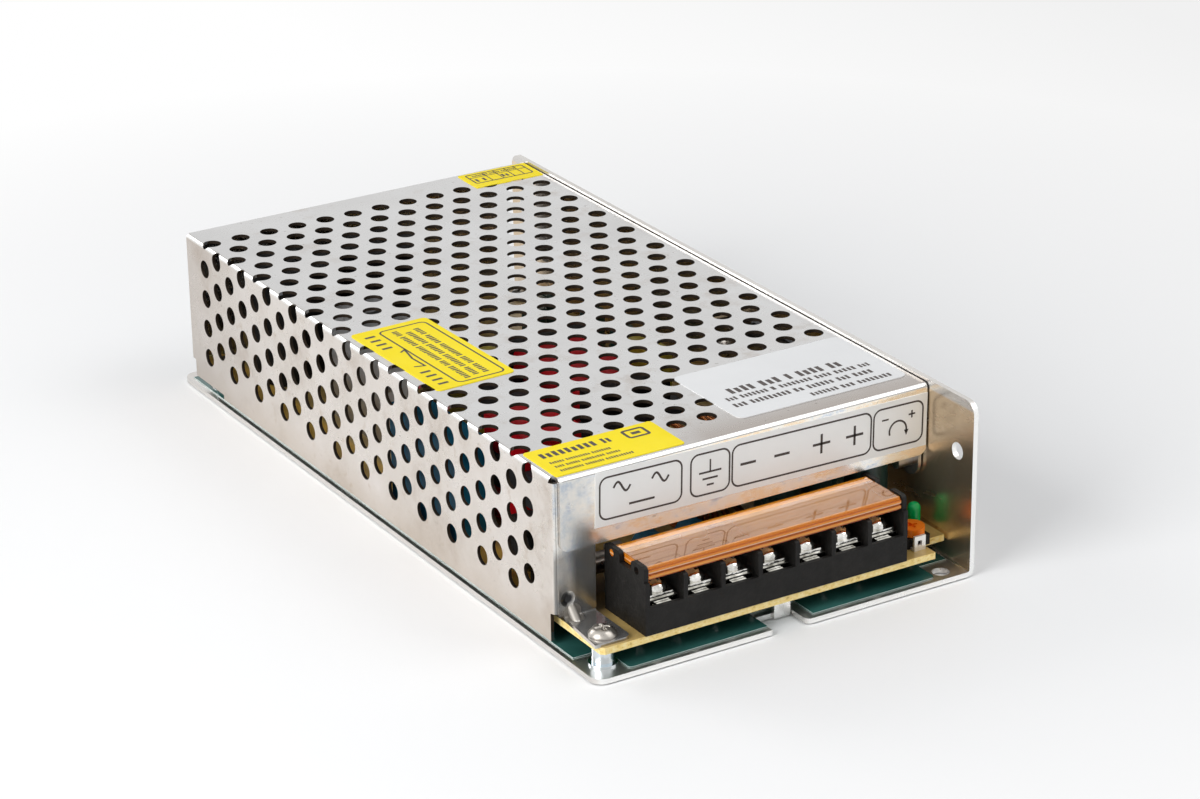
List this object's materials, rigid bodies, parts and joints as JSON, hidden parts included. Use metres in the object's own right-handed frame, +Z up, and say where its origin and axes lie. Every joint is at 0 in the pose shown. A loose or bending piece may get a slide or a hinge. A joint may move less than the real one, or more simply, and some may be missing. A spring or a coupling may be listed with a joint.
{
  "type": "mesh case switching power supply",
  "caption": "Open-ended mesh case power supply: folded aluminium base and side wall, perforated steel cover, screw terminals under a hinged clear lid, adjustment trimmer and lamp.",
  "frame": {"origin": "middle of the base's underside", "axes": "+X from the perforated wall towards the plain aluminium wall, -Y towards the terminals, +Z up"},
  "size_m": [0.098, 0.199, 0.0415],
  "materials": {
    "aluminium_sheet": "satin",
    "galvanised_steel": "satin",
    "plated_steel": "polished",
    "clear_film": "gloss",
    "circuit_board": "satin",
    "silver_label": "satin",
    "yellow_label": "matte",
    "black_plastic": "satin",
    "amber_plastic": "gloss",
    "orange_plastic": "matte",
    "green_lens": "gloss",
    "blue_plastic": "satin",
    "yellow_plastic": "satin",
    "green_plastic": "satin",
    "ferrite": "matte",
    "red_tape": "satin",
    "powder_core": "matte",
    "copper_wire": "gloss",
    "grey_rubber": "matte",
    "resistor_body": "matte",
    "solder": "satin"
  },
  "bodies": {
    "case": {"chassis": "aluminium_sheet", "insulating_film": "clear_film", "standoffs": "plated_steel", "pcb": "circuit_board", "pcb_screws": "plated_steel", "cover": "galvanised_steel", "cover_screw": "plated_steel", "side_screws": "plated_steel", "legend_label": "silver_label", "rating_label": "silver_label", "front_notice": "yellow_label", "side_notice": "yellow_label", "rear_notice": "yellow_label", "terminal_block": "black_plastic", "terminal_screws": "plated_steel", "terminal_washers": "plated_steel", "terminal_plates": "plated_steel", "trimmer_base": "black_plastic", "trimmer_wiper": "plated_steel", "led": "green_lens", "fuse": "plated_steel", "fuse_holder": "plated_steel", "thermistor": "black_plastic", "x_capacitor": "blue_plastic", "y_capacitors": "blue_plastic", "film_capacitor": "yellow_plastic", "line_choke_core": "ferrite", "line_choke_winding": "red_tape", "bridge_rectifier": "black_plastic", "bulk_capacitors": "black_plastic", "transformer_core": "ferrite", "transformer_bobbin": "black_plastic", "transformer_winding": "red_tape", "driver_transformer": "yellow_plastic", "primary_heat_sink": "aluminium_sheet", "switching_transistors": "black_plastic", "transistor_screws": "plated_steel", "output_rectifier": "black_plastic", "rectifier_pad": "grey_rubber", "rectifier_clamp": "plated_steel", "clamp_screw": "plated_steel", "output_choke_core": "powder_core", "output_choke_winding": "copper_wire", "output_capacitors": "green_plastic", "controller_chip": "black_plastic", "power_resistors": "resistor_body", "small_capacitors": "black_plastic", "solder_joints": "solder"},
    "lid": {"terminal_cover": "amber_plastic"},
    "trimmer": {"trimmer_rotor": "orange_plastic"}
  },
  "joints": [
    {"name": "lid_hinge", "type": "hinge", "parent": "case", "child": "lid", "pos_m": [-0.0017, -0.0839, 0.0213], "axis": [-1, 0, 0], "range_deg": [0, 78]},
    {"name": "trimmer_turn", "type": "hinge", "parent": "case", "child": "trimmer", "pos_m": [0.0386, -0.09, 0.0095], "axis": [0, 0, 1], "range_deg": [-120, 120]}
  ]
}
